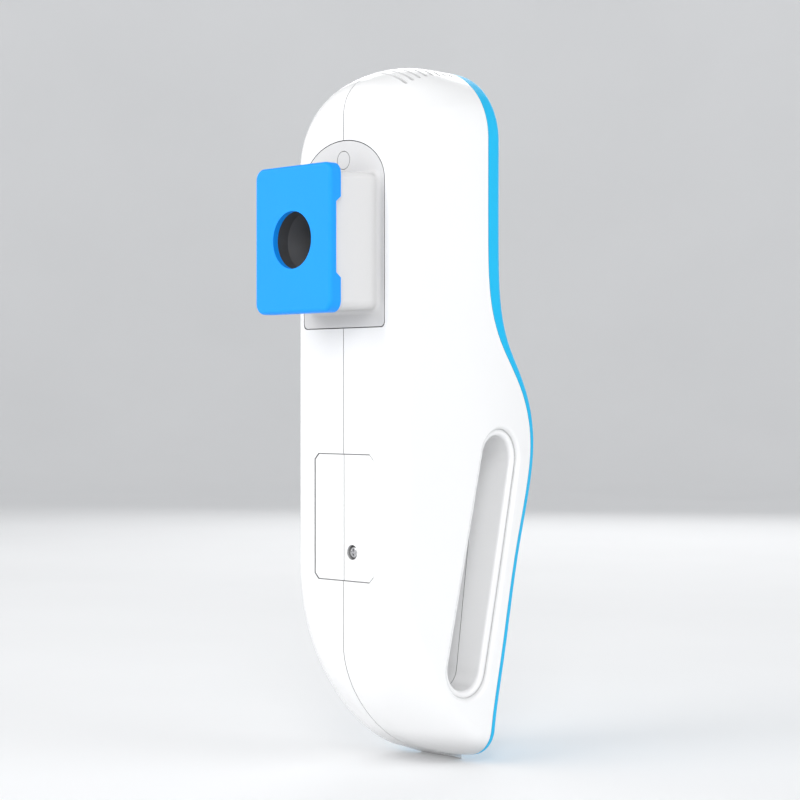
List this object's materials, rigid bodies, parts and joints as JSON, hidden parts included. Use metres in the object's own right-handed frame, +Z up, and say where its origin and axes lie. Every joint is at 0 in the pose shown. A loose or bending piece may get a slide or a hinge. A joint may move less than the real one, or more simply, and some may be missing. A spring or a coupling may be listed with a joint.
{
  "type": "digital infrared thermometer",
  "caption": "Upright handheld infrared thermometer with a two-half white body, rear cover, boxed sensor head with slip-on aperture cap and a long hand slot.",
  "frame": {"origin": "middle of the bounding box's bottom face, under the port cover", "axes": "+Z up along the body, -Y towards the front where the sensor head points, +X to the right seen from the front"},
  "size_m": [0.0576, 0.1078, 0.2701],
  "materials": {
    "white_shell": "gloss",
    "cyan_shell": "gloss",
    "head_grey": "satin",
    "cap_blue": "satin",
    "tube_black": "matte",
    "steel": "satin",
    "sensor_can": "gloss",
    "ir_filter": "gloss",
    "window": "gloss",
    "lcd": "gloss",
    "black_plastic": "matte",
    "gasket": "matte",
    "silicone": "matte",
    "board_green": "satin",
    "frame_plastic": "matte",
    "cell_wrap": "gloss",
    "speaker_cloth": "matte",
    "lead_red": "satin",
    "flex": "satin",
    "button_white": "gloss"
  },
  "bodies": {
    "body": {"left_housing": "white_shell", "right_housing": "white_shell", "back_cover": "cyan_shell", "grille_cloth": "speaker_cloth", "head_housing": "head_grey", "aperture_tube": "tube_black", "sensor_holder": "black_plastic", "ir_sensor": "sensor_can", "sensor_window": "ir_filter", "sensor_board": "board_green", "sensor_cable": "flex", "head_plug": "head_grey", "head_screw": "steel", "case_screw": "steel", "chassis_screws": "steel", "display_window": "window", "display_gasket": "gasket", "lcd_module": "lcd", "lcd_frame": "black_plastic", "keypad_membrane": "silicone", "tact_switches": "black_plastic", "inner_chassis": "frame_plastic", "main_board": "board_green", "board_screws": "steel", "battery_cells": "cell_wrap", "battery_tray": "frame_plastic", "battery_leads": "lead_red", "speaker": "black_plastic", "speaker_gasket": "gasket", "charge_port": "steel", "charge_board": "board_green", "hinge_pin": "steel"},
    "head_cap_body": {"head_cap": "cap_blue"},
    "measure_button_body": {"measure_button": "button_white"},
    "mode_button_body": {"mode_button": "button_white"},
    "memory_button_body": {"memory_button": "button_white"},
    "port_cover_body": {"port_cover": "white_shell"}
  },
  "joints": [
    {"name": "cap_slide", "type": "slide", "parent": "body", "child": "head_cap_body", "axis": [0, -1, 0], "range_m": [0, 0.012]},
    {"name": "measure_press", "type": "slide", "parent": "body", "child": "measure_button_body", "axis": [0, -1, 0], "range_m": [0, 0.0008], "stiffness_N_per_m": 1500},
    {"name": "mode_press", "type": "slide", "parent": "body", "child": "mode_button_body", "axis": [0, -1, 0], "range_m": [0, 0.0008], "stiffness_N_per_m": 1500},
    {"name": "memory_press", "type": "slide", "parent": "body", "child": "memory_button_body", "axis": [0, -1, 0], "range_m": [0, 0.0008], "stiffness_N_per_m": 1500},
    {"name": "port_cover_hinge", "type": "hinge", "parent": "body", "child": "port_cover_body", "pos_m": [0, 0.0126, 0.0049], "axis": [-1, 0, 0], "range_deg": [0, 90]}
  ]
}
